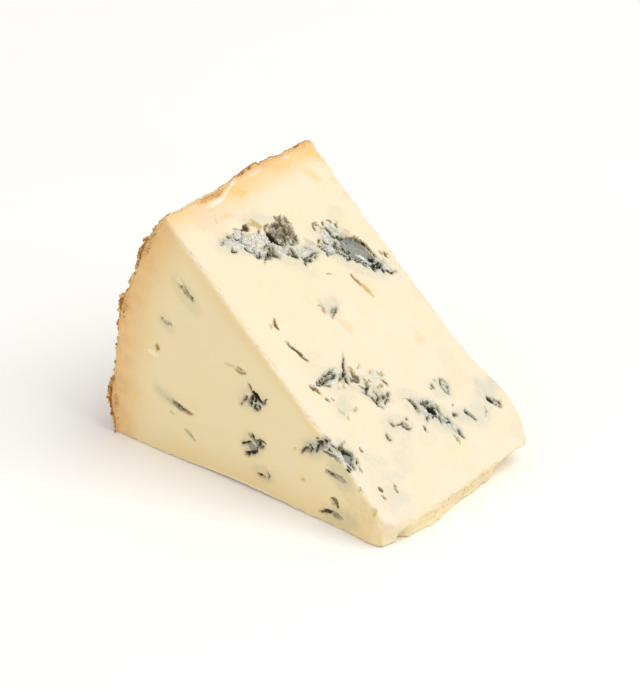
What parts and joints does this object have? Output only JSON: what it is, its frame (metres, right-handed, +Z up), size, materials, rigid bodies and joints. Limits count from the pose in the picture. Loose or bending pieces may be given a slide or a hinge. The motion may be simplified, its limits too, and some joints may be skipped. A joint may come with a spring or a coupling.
{
  "type": "blue cheese wedge",
  "caption": "Wedge of veined blue cheese cut from a drum, lying on one cut face, with a thin lumpy rind and a blunt crumbly tip.",
  "frame": {"origin": "on the surface the wedge lies on, under the middle of its outline", "axes": "+X from the rind to the tip along the lower cut, +Y along the drum's axis away from the near side, +Z up"},
  "size_m": [0.0976, 0.0616, 0.0725],
  "materials": {
    "cheese": "soft satin cream paste with blue-grey mould veins and a thin brown rind"
  },
  "bodies": {
    "root": {"cheese_wedge": "cheese"}
  },
  "joints": []
}
